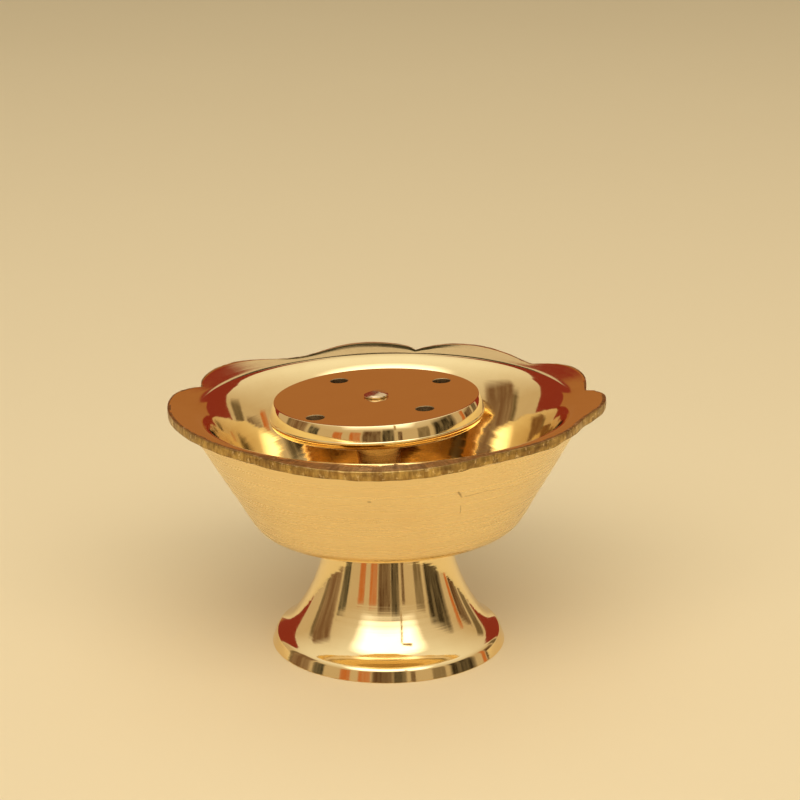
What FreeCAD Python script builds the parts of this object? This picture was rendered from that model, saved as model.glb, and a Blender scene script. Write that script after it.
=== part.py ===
import FreeCAD, Part
import math
import os

from FreeCAD import Placement, Rotation, Vector

# Brass incense stick holder: a lobed bowl on a hollow flared foot, and a thick plate with four
# stick holes held above the bowl by a stem. One rod ties the stack together. All sizes are in
# millimetres. The origin is the centre of the foot's ground ring, and +Z is up.

# --- Driving dimensions -------------------------------------------------------------------------
BASE_R = 20.0           # outer radius of the ground ring
BAND_H = 2.1            # height of the sloped band at the ground
BAND_TOP_R = 19.2       # radius at the band's upper edge
STEP = 0.15             # small turned step above the band
NECK_R = 10.7           # radius of the foot's top, under the bowl
FOOT_H = 18.0           # ground to the bowl's seat
FOOT_WALL = 2.0         # thickness of the foot's wall
FOOT_CEILING = 15.0     # height of the seat for the washer, along the rod

BOWL_LEAN = 1.0         # degrees, the bowl leans towards -X on its seat
BOWL_SHIFT = 0.18       # the bowl sits this far towards +X
BOWL_FLOOR = 1.8        # thickness of the bowl's floor
RIM_THICKNESS = 1.5
BOWL_SEAT_R = 11.0      # flat underside that sits on the foot
BOWL_FLAT_R = 11.0      # flat inside floor
WALL_TOP_R = 31.5       # outer radius where the wall turns into the rim
WALL_TOP_Z = 19.8       # height of that turn above the seat
RIM_R = 34.3            # radius of the rim at its notches
RIM_Z = 24.12           # top of the rim there, above the seat
RIM_SLOPE = 0.12        # rise of the rim per millimetre outwards
RIM_TURN_R = 32.2       # where the rim's top becomes straight
RIM_UNDER_R = 33.4      # where its underside does
RIM_BLANK_R = 41.0      # radius of the rim before the lobes are cut

ROD_LEAN = 2.4          # degrees, the rod and the plate lean towards -X about the origin
ROD_R = 1.5
ROD_HOLE_R = 1.6        # clearance hole in the foot, the bowl, the stem and the washer
ROD_END = 10.6          # lower end of the rod, along its own axis
THREAD_PITCH = 0.5
THREAD_DEPTH = 0.28
THREAD_TOP = 13.6
HEAD_R = 2.05           # peened head
HEAD_H = 0.8
HEAD_EDGE_H = 0.3       # upright edge of the head, under its dome

PLATE_TOP = 43.3        # top face of the plate, along the rod
PLATE_H = 4.2
PLATE_TOP_R = 17.15
PLATE_R = 18.02         # widest radius, at the lip
PLATE_UNDER_R = 16.2
PLATE_BORE_R = 1.56     # running fit on the rod
PLATE_GAP = 0.05        # slack under the plate and under the rod's head
STICK_HOLE_R = 1.5
STICK_HOLE_CHAMFER = 0.1

STEM_FOOT_R = 6.5
STEM_WAIST_R = 3.4
STEM_TOP_R = 6.0
STEM_FLANGE_H = 1.4

WASHER_R = 3.5
WASHER_H = 0.6
NUT_FLATS = 5.5         # across flats
NUT_H = 2.4

# Rim lobes, counted from +X towards +Y: the notch where the lobe starts in degrees, the notch's
# radius, the tip's angle and radius, and how lean the lobe is before and after its tip (1 is a
# plain sine, less is fuller, more is leaner).
LOBES = [
    (8.0, 34.3, 30.0, 37.6, 1.3, 1.0),
    (41.0, 34.3, 68.0, 38.2, 1.5, 0.85),
    (81.0, 34.1, 96.5, 38.3, 0.65, 2.0),
    (118.0, 34.4, 138.0, 38.1, 1.9, 0.9),
    (159.0, 34.2, 170.0, 36.8, 0.7, 3.0),
    (232.0, 33.8, 268.5, 38.1, 1.3, 1.5),
    (301.0, 33.5, 322.0, 34.3, 1.0, 1.0),
    (339.0, 34.1, 360.0, 36.8, 1.6, 0.5),
]

# Stick holes in the plate, as radius from the rod and angle from +X towards +Y.
STICK_HOLES = [(12.2, 122.0), (13.35, 34.0), (14.65, 228.0), (11.75, 313.0)]

# Hammer marks on the rod's peened head: azimuth, tilt from level in degrees, distance from the
# middle of the head's foot.
HEAD_FACETS = [(20.0, 12.0, 0.76), (140.0, 24.0, 0.95), (215.0, 30.0, 1.1), (300.0, 17.0, 0.86)]

ROD_FRAME = Placement(Vector(0, 0, 0), Rotation(Vector(0, 1, 0), -ROD_LEAN))
BOWL_FRAME = Placement(Vector(BOWL_SHIFT, 0, FOOT_H), Rotation(Vector(0, 1, 0), -BOWL_LEAN))
TINY = 0.01
BIG = 60.0


# --- Helpers ------------------------------------------------------------------------------------
def at(radius, height):
    """A point of a turned profile."""
    return Vector(radius, 0, height)


def line(start, end):
    return Part.LineSegment(start, end).toShape()


def curve(points, start_dir=None, end_dir=None):
    """A smooth curve through the points, with given directions at its ends."""
    spline = Part.BSplineCurve()
    if start_dir is None:
        spline.interpolate(points)
    else:
        spline.interpolate(Points=points, InitialTangent=start_dir, FinalTangent=end_dir)
    return spline.toShape()


def turned(edges):
    """The solid that a closed profile sweeps about the Z axis."""
    face = Part.Face(Part.Wire(edges))
    solid = face.revolve(Vector(0, 0, 0), Vector(0, 0, 1), 360)
    return solid if solid.ShapeType == "Solid" else Part.makeSolid(solid)


def cylinder(radius, low, high, x=0.0, y=0.0):
    return Part.makeCylinder(radius, high - low, Vector(x, y, low))


def placed(shape, frame):
    """A copy of the shape, moved from its own upright frame into the leaning one."""
    moved = shape.copy()
    moved.Placement = frame.multiply(moved.Placement)
    return moved


def slab_below(height, frame):
    """Everything under a level of a leaning frame."""
    box = Part.makeBox(2 * BIG, 2 * BIG, BIG, Vector(-BIG, -BIG, height - BIG))
    return placed(box, frame)


def slab_above(height, frame):
    """Everything over a level of a leaning frame."""
    box = Part.makeBox(2 * BIG, 2 * BIG, BIG, Vector(-BIG, -BIG, height))
    return placed(box, frame)


def rod_hole(radius):
    return placed(cylinder(radius, -BIG, BIG), ROD_FRAME)


# --- Foot ---------------------------------------------------------------------------------------
def flare_points(inset):
    """The trumpet flare from the band to the neck, moved inwards by inset."""
    profile = [
        (BAND_TOP_R - STEP, BAND_H + STEP),
        (17.6, 3.2),
        (16.45, 4.4),
        (14.2, 7.8),
        (12.35, 11.8),
        (11.3, 15.2),
        (10.95, 16.7),
        (NECK_R, FOOT_H - 0.1),
    ]
    return [at(radius - inset, height) for radius, height in profile]


def make_foot():
    over = FOOT_H + 1.0
    flare = flare_points(0.0)
    outside = turned([
        line(at(0, 0), at(BASE_R, 0)),
        line(at(BASE_R, 0), at(BAND_TOP_R, BAND_H)),
        line(at(BAND_TOP_R, BAND_H), flare[0]),
        curve(flare),
        line(flare[-1], at(NECK_R, over)),
        line(at(NECK_R, over), at(0, over)),
        line(at(0, over), at(0, 0)),
    ])
    hollow_points = [at(BASE_R - FOOT_WALL, 0)] + flare_points(FOOT_WALL)[:-3]
    ceiling = FOOT_CEILING - 0.3
    hollow = turned([
        line(at(0, -1), at(BASE_R - FOOT_WALL, -1)),
        line(at(BASE_R - FOOT_WALL, -1), hollow_points[0]),
        curve(hollow_points),
        line(hollow_points[-1], at(hollow_points[-1].x - 0.8, ceiling)),
        line(at(hollow_points[-1].x - 0.8, ceiling), at(0, ceiling)),
        line(at(0, ceiling), at(0, -1)),
    ])
    spot_face = placed(cylinder(WASHER_R + 0.6, ROD_END, FOOT_CEILING), ROD_FRAME)
    foot = outside.cut(slab_above(0.0, BOWL_FRAME))
    return foot.cut(hollow).cut(spot_face).cut(rod_hole(ROD_HOLE_R))


# --- Bowl ---------------------------------------------------------------------------------------
def rim_top(radius):
    """Height of the rim's upper face above the seat."""
    return RIM_Z + RIM_SLOPE * (radius - RIM_R)


def lobe_radius(lobe, next_notch, angle):
    start, start_r, tip, tip_r, lean_in, lean_out = lobe
    end, end_r = next_notch
    if angle <= tip:
        share, base, lean = (angle - start) / (tip - start), start_r, lean_in
    else:
        share, base, lean = (end - angle) / (end - tip), end_r, lean_out
    return base + (tip_r - base) * math.sin(0.5 * math.pi * share) ** lean


def lobe_edge(lobe, next_notch):
    """One lobe's outline as a smooth curve from notch to notch."""
    start, tip, end = lobe[0], lobe[2], next_notch[0]
    steps = 7
    angles = [start + (tip - start) * i / steps for i in range(steps)]
    angles += [tip + (end - tip) * i / steps for i in range(steps + 1)]
    points = []
    for angle in angles:
        radius = lobe_radius(lobe, next_notch, angle)
        turn = math.radians(angle)
        points.append(Vector(radius * math.cos(turn), radius * math.sin(turn), 0))
    return curve(points)


def lobed_prism():
    """An upright prism with the rim's lobed outline."""
    nexts = [(lobe[0], lobe[1]) for lobe in LOBES[1:]] + [(LOBES[0][0] + 360.0, LOBES[0][1])]
    outline = Part.Wire([lobe_edge(lobe, after) for lobe, after in zip(LOBES, nexts)])
    return Part.Face(outline).extrude(Vector(0, 0, BIG))


def make_bowl():
    along_rim = Vector(1, 0, RIM_SLOPE)
    outer = [
        at(BOWL_SEAT_R, 0),
        at(15.2, 1.45),
        at(19.4, 2.85),
        at(22.2, 4.15),
        at(23.6, 6.0),
        at(25.3, 9.0),
        at(27.4, 12.6),
        at(29.65, 16.5),
        at(WALL_TOP_R, WALL_TOP_Z),
        at(WALL_TOP_R + 1.0, WALL_TOP_Z + 1.75),
        at(RIM_UNDER_R, rim_top(RIM_UNDER_R) - RIM_THICKNESS),
    ]
    inner = [
        at(BOWL_FLAT_R, BOWL_FLOOR),
        at(14.7, 2.85),
        at(18.9, 4.3),
        at(21.1, 5.3),
        at(22.3, 6.8),
        at(25.35, 13.25),
        at(29.05, 21.25),
        at(RIM_TURN_R, rim_top(RIM_TURN_R)),
    ]
    blank_top = at(RIM_BLANK_R, rim_top(RIM_BLANK_R))
    blank_under = at(RIM_BLANK_R, rim_top(RIM_BLANK_R) - RIM_THICKNESS)
    blank = turned([
        line(at(0, 0), outer[0]),
        curve(outer, Vector(1, 0, 0.38), along_rim),
        line(outer[-1], blank_under),
        line(blank_under, blank_top),
        line(blank_top, inner[-1]),
        curve(inner[::-1], along_rim * -1, Vector(-1, 0, 0)),
        line(inner[0], at(0, BOWL_FLOOR)),
        line(at(0, BOWL_FLOOR), at(0, 0)),
    ])
    bowl = placed(blank.common(lobed_prism()), BOWL_FRAME)
    return bowl.cut(rod_hole(ROD_HOLE_R))


# --- Stem ---------------------------------------------------------------------------------------
def make_stem():
    top = PLATE_TOP - PLATE_H - PLATE_GAP
    low = FOOT_H
    foot_top = FOOT_H + BOWL_FLOOR + STEM_FLANGE_H
    neck = [
        at(STEM_FOOT_R - 0.9, foot_top),
        at(STEM_WAIST_R + 0.4, foot_top + 2.6),
        at(STEM_WAIST_R, foot_top + 7.0),
        at(STEM_WAIST_R + 0.3, top - STEM_FLANGE_H - 4.0),
        at(STEM_TOP_R - 0.9, top - STEM_FLANGE_H),
    ]
    spool = turned([
        line(at(0, low), at(STEM_FOOT_R, low)),
        line(at(STEM_FOOT_R, low), at(STEM_FOOT_R, foot_top)),
        line(at(STEM_FOOT_R, foot_top), neck[0]),
        curve(neck, Vector(-0.6, 0, 1), Vector(0.8, 0, 1)),
        line(neck[-1], at(STEM_TOP_R, top - STEM_FLANGE_H)),
        line(at(STEM_TOP_R, top - STEM_FLANGE_H), at(STEM_TOP_R, top)),
        line(at(STEM_TOP_R, top), at(0, top)),
        line(at(0, top), at(0, low)),
    ])
    stem = placed(spool, ROD_FRAME).cut(slab_below(BOWL_FLOOR, BOWL_FRAME))
    return stem.cut(rod_hole(ROD_HOLE_R))


# --- Stick plate --------------------------------------------------------------------------------
def stick_hole(radius, angle):
    """A drilled hole through the plate with a lightly broken upper edge."""
    turn = math.radians(angle)
    x, y = radius * math.cos(turn), radius * math.sin(turn)
    drill = cylinder(STICK_HOLE_R, PLATE_TOP - PLATE_H - 1, PLATE_TOP + 1, x, y)
    wide = STICK_HOLE_R + STICK_HOLE_CHAMFER
    sink = Part.makeCone(STICK_HOLE_R, wide, STICK_HOLE_CHAMFER,
                         Vector(x, y, PLATE_TOP - STICK_HOLE_CHAMFER))
    return drill.fuse(sink)


def make_stick_plate():
    lip = [
        at(PLATE_R - 0.1, PLATE_TOP - 2.5),
        at(PLATE_R, PLATE_TOP - 3.0),
        at(PLATE_R - 0.38, PLATE_TOP - 3.8),
    ]
    under = at(PLATE_UNDER_R, PLATE_TOP - PLATE_H)
    side = curve([
        at(PLATE_TOP_R, PLATE_TOP),
        at(PLATE_R - 0.58, PLATE_TOP - 0.65),
        at(PLATE_R - 0.37, PLATE_TOP - 1.25),
        at(PLATE_R - 0.22, PLATE_TOP - 1.9),
        lip[0],
    ])
    plate = turned([
        line(at(0, PLATE_TOP), at(PLATE_TOP_R, PLATE_TOP)),
        side,
        Part.Arc(*lip).toShape(),
        line(lip[-1], under),
        line(under, at(0, under.z)),
        line(at(0, under.z), at(0, PLATE_TOP)),
    ])
    plate = plate.cut(cylinder(PLATE_BORE_R, under.z - 1, PLATE_TOP + 1))
    for radius, angle in STICK_HOLES:
        plate = plate.cut(stick_hole(radius, angle))
    return placed(plate, ROD_FRAME)


# --- Centre rod, washer and nut -----------------------------------------------------------------
def peened_head(low):
    """The head: a low dome with an upright edge, flattened by a few hammer marks."""
    rise = HEAD_H - HEAD_EDGE_H
    head = turned([
        line(at(0, low), at(HEAD_R, low)),
        line(at(HEAD_R, low), at(HEAD_R, low + HEAD_EDGE_H)),
        Part.Arc(at(HEAD_R, low + HEAD_EDGE_H),
                 at(HEAD_R * 0.55, low + HEAD_EDGE_H + rise * 0.78),
                 at(0, low + HEAD_H)).toShape(),
        line(at(0, low + HEAD_H), at(0, low)),
    ])
    for azimuth, tilt, distance in HEAD_FACETS:
        block = Part.makeBox(10, 10, 5, Vector(-5, -5, distance))
        block.rotate(Vector(0, 0, 0), Vector(0, 1, 0), tilt)
        block.rotate(Vector(0, 0, 0), Vector(0, 0, 1), azimuth)
        block.translate(Vector(0, 0, low))
        head = head.cut(block)
    return head


def thread_groove(low):
    """One ring-shaped V groove."""
    half = THREAD_PITCH * 0.42
    return turned([
        line(at(ROD_R + TINY, low - half), at(ROD_R - THREAD_DEPTH, low)),
        line(at(ROD_R - THREAD_DEPTH, low), at(ROD_R + TINY, low + half)),
        line(at(ROD_R + TINY, low + half), at(ROD_R + TINY, low - half)),
    ])


def make_centre_rod():
    head_low = PLATE_TOP + PLATE_GAP
    rod = cylinder(ROD_R, ROD_END, head_low + TINY).fuse(peened_head(head_low)).removeSplitter()
    turns = int((THREAD_TOP - ROD_END) / THREAD_PITCH)
    for turn in range(turns):
        rod = rod.cut(thread_groove(ROD_END + (turn + 0.5) * THREAD_PITCH))
    return placed(rod, ROD_FRAME)


def make_washer():
    low = FOOT_CEILING - WASHER_H
    ring = cylinder(WASHER_R, low, FOOT_CEILING).cut(cylinder(ROD_HOLE_R, low - 1, FOOT_CEILING + 1))
    return placed(ring, ROD_FRAME)


def make_hex_nut():
    low = FOOT_CEILING - WASHER_H - NUT_H
    corner_r = NUT_FLATS / math.sqrt(3.0)
    corners = []
    for i in range(7):
        turn = math.radians(60.0 * i)
        corners.append(Vector(corner_r * math.cos(turn), corner_r * math.sin(turn), low))
    nut = Part.Face(Part.makePolygon(corners)).extrude(Vector(0, 0, NUT_H))
    rounding = turned([
        line(at(0, low), at(NUT_FLATS * 0.47, low)),
        line(at(NUT_FLATS * 0.47, low), at(corner_r + TINY, low + 0.35)),
        line(at(corner_r + TINY, low + 0.35), at(corner_r + TINY, low + NUT_H)),
        line(at(corner_r + TINY, low + NUT_H), at(0, low + NUT_H)),
        line(at(0, low + NUT_H), at(0, low)),
    ])
    bore = cylinder(ROD_R + TINY, low - 1, low + NUT_H + 1)
    return placed(nut.common(rounding).cut(bore), ROD_FRAME)


# --- Files --------------------------------------------------------------------------------------
PIECES = {
    "foot": make_foot,
    "bowl": make_bowl,
    "stem": make_stem,
    "stick_plate": make_stick_plate,
    "centre_rod": make_centre_rod,
    "washer": make_washer,
    "hex_nut": make_hex_nut,
}

os.makedirs("parts", exist_ok=True)
for name, make in PIECES.items():
    shape = make()
    solids = shape.Solids
    if len(solids) != 1 or not solids[0].isValid():
        raise ValueError(name + " is not one valid solid")
    solids[0].exportStep("parts/" + name + ".step")
    box = solids[0].BoundBox
    print(name, "volume", round(solids[0].Volume, 1),
          "box", [round(v, 2) for v in (box.XMin, box.YMin, box.ZMin, box.XMax, box.YMax, box.ZMax)])
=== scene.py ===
import math

import bmesh
import bpy
import numpy as np
from mathutils import Matrix, Vector


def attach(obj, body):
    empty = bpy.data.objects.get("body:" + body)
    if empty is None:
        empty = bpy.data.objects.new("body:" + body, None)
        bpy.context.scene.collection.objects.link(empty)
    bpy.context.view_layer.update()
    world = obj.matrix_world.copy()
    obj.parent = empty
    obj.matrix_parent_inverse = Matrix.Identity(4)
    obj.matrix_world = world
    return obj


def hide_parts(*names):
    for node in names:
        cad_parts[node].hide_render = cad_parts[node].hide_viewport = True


# A brass incense stick holder: lobed bowl on a flared foot, and a drilled plate on a stem above
# the bowl's floor. Every piece is turned, so each is built as rings of points about an axis.

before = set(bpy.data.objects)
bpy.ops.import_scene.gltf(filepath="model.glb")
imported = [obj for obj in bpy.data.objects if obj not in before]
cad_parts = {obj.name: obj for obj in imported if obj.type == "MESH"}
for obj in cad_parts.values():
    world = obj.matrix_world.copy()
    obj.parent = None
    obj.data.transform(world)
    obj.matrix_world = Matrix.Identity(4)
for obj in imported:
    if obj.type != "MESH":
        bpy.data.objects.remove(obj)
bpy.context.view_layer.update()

MM = 0.001

# --- Sizes shared with the CAD model, in millimetres ---
BASE_R = 20.0
BAND_TOP_R = 19.2
BAND_H = 2.1
STEP = 0.15
NECK_R = 10.7
FOOT_H = 18.0
FOOT_WALL = 2.0
FOOT_CEILING = 15.0
# The foot's flare from the band's top up: radius and height.
FLARE = [
    (17.6, 3.2), (16.45, 4.4), (14.2, 7.8), (12.35, 11.8), (11.3, 15.2), (10.95, 16.7),
    (NECK_R, FOOT_H - 0.1),
]
# Between the foot's hollow and its outside: a radius at each height.
HOLLOW_HEIGHTS = (0, 2.25, 4.4, 7.8, 11.8, 18.0)
HOLLOW_LIMITS = (19.0, 18.1, 15.6, 13.3, 11.4, 9.0)

BOWL_LEAN = 1.0
BOWL_SHIFT = 0.18
BOWL_FLOOR = 1.8
RIM_THICKNESS = 1.5
BOWL_SEAT_R = 11.0
BOWL_FLAT_R = 11.0
FLOOR_RING_R = (9.0, 7.0, 5.0, 3.0)
RIM_R = 34.3
RIM_Z = 24.12
RIM_SLOPE = 0.12
RIM_TURN_R = 32.2
RIM_UNDER_R = 33.4
TIP_CURL = 0.06
# Out to this radius the bowl's outside takes the darker underside colours, which are painted shade.
SHADED_UNDERSIDE_R = 19.0
# The bowl's wall, from its seat or floor up: radius and height in the bowl's own frame.
BOWL_OUTER = [
    (BOWL_SEAT_R, 0), (15.2, 1.45), (19.4, 2.85), (22.2, 4.15), (23.6, 6.0), (25.3, 9.0),
    (27.4, 12.6), (29.65, 16.5), (31.5, 19.8), (32.5, 21.55),
]
BOWL_INNER = [
    (BOWL_FLAT_R, BOWL_FLOOR), (14.7, 2.85), (18.9, 4.3), (21.1, 5.3), (22.3, 6.8),
    (25.35, 13.25), (29.05, 21.25),
]

ROD_LEAN = 2.4
ROD_R = 1.5
ROD_HOLE_R = 1.6
ROD_END = 10.6
THREAD_TOP = 13.6
THREAD_PITCH = 0.5
THREAD_DEPTH = 0.28
HEAD_R = 2.05
HEAD_H = 0.8
HEAD_BRIM = 0.18
# Flats hammered into the head: azimuth and tilt in degrees, and distance from the head's foot.
HEAD_BLOWS = [
    (20.0, 14.0, 0.85), (140.0, 26.0, 1.07), (215.0, 33.0, 1.25), (300.0, 20.0, 0.97),
    (80.0, 37.0, 1.44), (255.0, 9.0, 0.78),
]

PLATE_TOP = 43.3
PLATE_H = 4.2
PLATE_TOP_R = 17.15
PLATE_R = 18.02
PLATE_UNDER_R = 16.2
PLATE_BORE_R = 1.56
PLATE_GAP = 0.05
STICK_HOLE_R = 1.5
STICK_HOLE_FLARE = 0.35

STEM_FOOT_R = 6.5
STEM_WAIST_R = 3.4
STEM_TOP_R = 6.0
STEM_FLANGE_H = 1.4

WASHER_R = 3.5
WASHER_H = 0.6
NUT_FLATS = 5.5
NUT_H = 2.4
NUT_FACE_R = 2.2

# Scratches on the bowl's outside: start and end in the bowl's own frame, half width and depth of
# colour.
OUTSIDE_SCRATCHES = [
    ((11.3, -28.1, 17.6), (11.9, -27.3, 16.4), 0.22, 0.7),
    ((11.7, -26.6, 15.2), (11.6, -25.2, 13.2), 0.13, 0.4),
    ((12.3, -27.1, 16.5), (15.9, -25.2, 16.8), 0.12, 0.4),
    ((16.0, -25.2, 16.7), (20.4, -21.6, 16.4), 0.09, 0.3),
    ((28.6, -10.2, 18.0), (26.6, -11.6, 14.9), 0.16, 0.7),
    ((27.0, -12.6, 16.6), (26.3, -12.8, 15.4), 0.11, 0.5),
    ((26.4, -10.7, 14.5), (25.2, -11.0, 12.4), 0.16, 0.65),
    ((24.2, -9.4, 10.0), (21.4, -12.4, 7.8), 0.18, 0.75),
    ((-2.8, -29.8, 16.9), (-2.4, -29.8, 16.9), 0.16, 0.7),
    ((-20.5, -19.6, 14.6), (-17.4, -22.4, 14.3), 0.08, 0.3),
]

# Rim lobes from +X towards +Y: notch angle, notch radius, tip angle, tip radius, and how lean the
# lobe is before and after its tip.
LOBES = [
    (8.0, 34.3, 30.0, 37.6, 1.3, 1.0),
    (41.0, 34.3, 68.0, 38.2, 1.5, 0.85),
    (81.0, 34.1, 96.5, 38.3, 0.65, 2.0),
    (118.0, 34.4, 138.0, 38.1, 1.9, 0.9),
    (159.0, 34.2, 170.0, 36.8, 0.7, 3.0),
    (232.0, 33.8, 268.5, 38.1, 1.3, 1.5),
    (301.0, 33.5, 322.0, 34.3, 1.0, 1.0),
    (339.0, 34.1, 360.0, 36.8, 1.6, 0.5),
]
# How far points crowd towards the notches, rings up the rim's edge, its bulge, and the file marks'
# depth, in millimetres.
NOTCH_CROWDING = 0.11
EDGE_STEPS = 7
EDGE_BULGE = 0.06
FILE_ROUGHNESS = 0.012
# How far in from the lobes' edge the file went, in millimetres, at angles round the rim.
FILED_ANGLES = (0, 20, 150, 195, 225, 240, 268, 292, 305, 330, 360)
FILED_WIDTHS = (0.35, 0.2, 0.2, 0.3, 0.6, 2.2, 4.6, 2.6, 0.8, 0.5, 0.35)
# Small dents in the rim's upper edge: angle, reach in degrees and depth in millimetres.
RIM_DENTS = [
    (203, 1.2, 0.10), (217, 1.5, 0.14), (229, 1.1, 0.18), (236, 1.3, 0.16), (243, 1.0, 0.10),
    (252, 1.4, 0.12), (261, 0.9, 0.08), (277, 1.2, 0.12), (286, 1.0, 0.09), (296, 1.3, 0.16),
    (306, 1.1, 0.12), (318, 1.2, 0.10), (331, 1.4, 0.10),
]
# Stick holes: distance from the plate's axis and angle.
STICK_HOLES = [(12.2, 122.0), (13.35, 34.0), (14.65, 228.0), (11.75, 313.0)]

# Points round each turned piece.
FOOT_AROUND = 400
STEM_AROUND = 160
PLATE_AROUND = 400
HOLE_AROUND = 48
ROD_AROUND = 72
WASHER_AROUND = 96
NUT_AROUND = 120

ROD_FRAME = Matrix.Rotation(math.radians(-ROD_LEAN), 4, "Y")
BOWL_FRAME = (Matrix.Translation(Vector((BOWL_SHIFT, 0, FOOT_H)) * MM)
              @ Matrix.Rotation(math.radians(-BOWL_LEAN), 4, "Y"))

# --- Camera: the viewing angle of a seated person, through a long lens ---
CAMERA_PLACE = Vector((2.17, -336.83, 141.77)) * MM
CAMERA_PITCH = 16.416
CAMERA_ROLL = -0.30
CAMERA_LENS = 94.5
SENSOR_WIDTH = 36.0


def new_object(name, data):
    made = bpy.data.objects.new(name, data)
    bpy.context.scene.collection.objects.link(made)
    return made


def add_camera():
    data = bpy.data.cameras.new("camera")
    data.lens = CAMERA_LENS
    data.sensor_width = SENSOR_WIDTH
    data.clip_start = 0.01
    data.clip_end = 50.0
    camera = new_object("camera", data)
    aim = Matrix.Rotation(math.radians(90.0 - CAMERA_PITCH), 4, "X")
    roll = Matrix.Rotation(math.radians(CAMERA_ROLL), 4, "Z")
    camera.matrix_world = Matrix.Translation(CAMERA_PLACE) @ aim @ roll
    bpy.context.scene.camera = camera


# --- Profiles ---
def spline(points, spacing, start_dir=None, end_dir=None):
    """Dense points, at the spacing, along the cubic spline through the points."""
    p = np.array(points, float)
    t = np.concatenate([[0.0], np.cumsum(np.linalg.norm(np.diff(p, axis=0), axis=1))])
    n = len(p)
    h = np.diff(t)
    slope = np.diff(p, axis=0) / h[:, None]
    a = np.zeros((n, n))
    b = np.zeros((n, 2))
    for i in range(1, n - 1):
        a[i, i - 1], a[i, i], a[i, i + 1] = h[i], 2 * (h[i - 1] + h[i]), h[i - 1]
        b[i] = 3 * (h[i] * slope[i - 1] + h[i - 1] * slope[i])
    ends = ((0, 1, start_dir, slope[0]), (n - 1, n - 2, end_dir, slope[-1]))
    for row, other, direction, chord in ends:
        a[row, row] = 1.0
        if direction is None:
            a[row, row], a[row, other] = 2.0, 1.0
            b[row] = 3 * chord
        else:
            d = np.array(direction, float)
            b[row] = d / np.linalg.norm(d)
    m = np.linalg.solve(a, b)
    count = max(2, int(math.ceil(t[-1] / spacing)) + 1)
    u = np.linspace(0.0, t[-1], count)
    i = np.clip(np.searchsorted(t, u, side="right") - 1, 0, n - 2)
    s = ((u - t[i]) / h[i])[:, None]
    hh = h[i][:, None]
    return ((2 * s**3 - 3 * s**2 + 1) * p[i] + (s**3 - 2 * s**2 + s) * hh * m[i]
            + (3 * s**2 - 2 * s**3) * p[i + 1] + (s**3 - s**2) * hh * m[i + 1])


def straight(start, end, spacing):
    """Evenly spaced points from start to end, no further apart than the spacing."""
    count = max(2, int(math.ceil(math.dist(start, end) / spacing)) + 1)
    return np.linspace(np.array(start, float), np.array(end, float), count)


def cut_back(run, distance, at_end):
    """The run without its last (or first) stretch of that length."""
    pts = run[::-1] if at_end else run
    lengths = np.linalg.norm(np.diff(pts, axis=0), axis=1)
    far = np.concatenate([[0.0], np.cumsum(lengths)])
    k = int(np.searchsorted(far, distance, side="right"))
    share = (distance - far[k - 1]) / lengths[k - 1]
    start = pts[k - 1] + share * (pts[k] - pts[k - 1])
    rest = np.vstack([start, pts[k:]])
    return rest[::-1] if at_end else rest


def joined(runs, corners, closed=True):
    """One outline from the runs. corners gives how far each run's end corner is rounded."""
    runs = [np.array(run, float) for run in runs]
    count = len(runs)
    arcs = {}
    for i, size in enumerate(corners):
        after = (i + 1) % count
        if size <= 0:
            continue
        corner = runs[i][-1].copy()
        runs[i] = cut_back(runs[i], size, True)
        runs[after] = cut_back(runs[after], size, False)
        u = np.linspace(0, 1, 7)[1:-1, None]
        arcs[i] = ((1 - u) ** 2 * runs[i][-1] + 2 * u * (1 - u) * corner + u**2 * runs[after][0])
    pieces = []
    for i, run in enumerate(runs):
        last = closed or i < count - 1
        pieces.append(run if (i in arcs or not last) else run[:-1])
        if i in arcs:
            pieces.append(arcs[i])
    return np.vstack(pieces)


def arc_length(outline):
    steps = np.linalg.norm(np.diff(outline, axis=0), axis=1)
    return np.concatenate([[0.0], np.cumsum(steps)])


def ring_waves(outline, height, seed):
    """The outline moved along its own normal by the uneven waves that a hand-fed tool leaves."""
    rng = np.random.default_rng(seed)
    arc = arc_length(outline)
    wave = np.zeros(len(arc))
    for length in (0.9, 1.3, 2.1, 3.4, 5.5):
        phase = np.cumsum(rng.normal(0, 0.25, len(arc)))
        wave += length * np.sin(2 * math.pi * arc / length + phase + rng.uniform(0, 6.28))
    tangent = np.gradient(outline, axis=0)
    tangent /= np.linalg.norm(tangent, axis=1)[:, None] + 1e-12
    normal = np.stack([tangent[:, 1], -tangent[:, 0]], axis=1)
    return outline + normal * (wave * height)[:, None]


# --- Meshes ---
def even_angles(count):
    return np.arange(count) * 2 * math.pi / count


def revolve(outline, angles):
    """Rings of points, one ring for each point of the outline."""
    radius, height = outline[:, 0][:, None], outline[:, 1][:, None]
    return np.stack([radius * np.cos(angles), radius * np.sin(angles),
                     height + 0 * angles], axis=2)


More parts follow.
